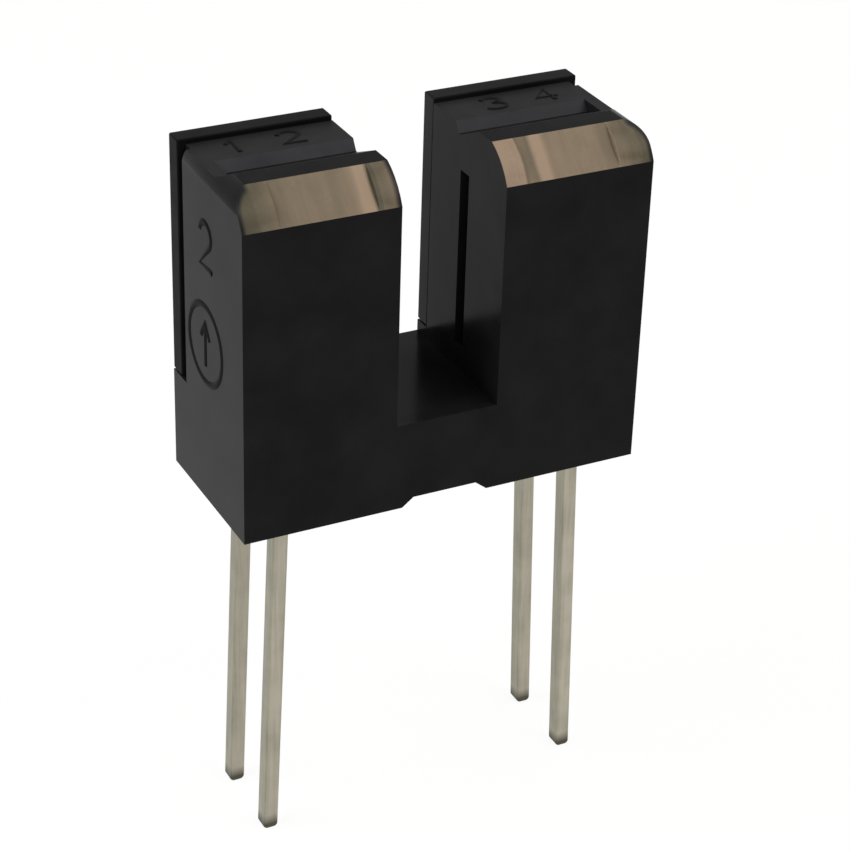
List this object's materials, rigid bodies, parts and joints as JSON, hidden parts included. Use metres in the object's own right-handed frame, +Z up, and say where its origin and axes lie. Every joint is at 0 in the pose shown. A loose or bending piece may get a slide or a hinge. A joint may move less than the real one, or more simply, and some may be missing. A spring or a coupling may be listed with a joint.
{
  "type": "slotted optical switch",
  "caption": "Black U-shaped through-hole photointerrupter: an infrared emitter and a phototransistor face each other across a slot and sense a flag that passes between them.",
  "frame": {"origin": "middle of the four-lead pattern, on the board surface that the underside sits on", "axes": "+X across the slot from emitter to detector, +Y towards the rear lids, +Z up out of the board"},
  "size_m": [0.0122, 0.005, 0.0209],
  "materials": {
    "housing_black": "satin moulded black, fine grain",
    "lid_black": "satin moulded black",
    "clear_epoxy": "clear moulded epoxy, faint pink tint",
    "filter_epoxy": "dark infrared-filter epoxy",
    "tinned_lead": "dull tin plating",
    "chip": "polished semiconductor",
    "bond_gold": "drawn gold"
  },
  "bodies": {
    "root": {"housing": "housing_black", "emitter_rear_lid": "lid_black", "detector_rear_lid": "lid_black", "emitter_package": "clear_epoxy", "detector_package": "filter_epoxy", "emitter_anode_lead": "tinned_lead", "emitter_cathode_lead": "tinned_lead", "detector_collector_lead": "tinned_lead", "detector_emitter_lead": "tinned_lead", "emitter_die": "chip", "detector_die": "chip", "emitter_bond_wire": "bond_gold", "detector_bond_wire": "bond_gold"}
  },
  "joints": []
}
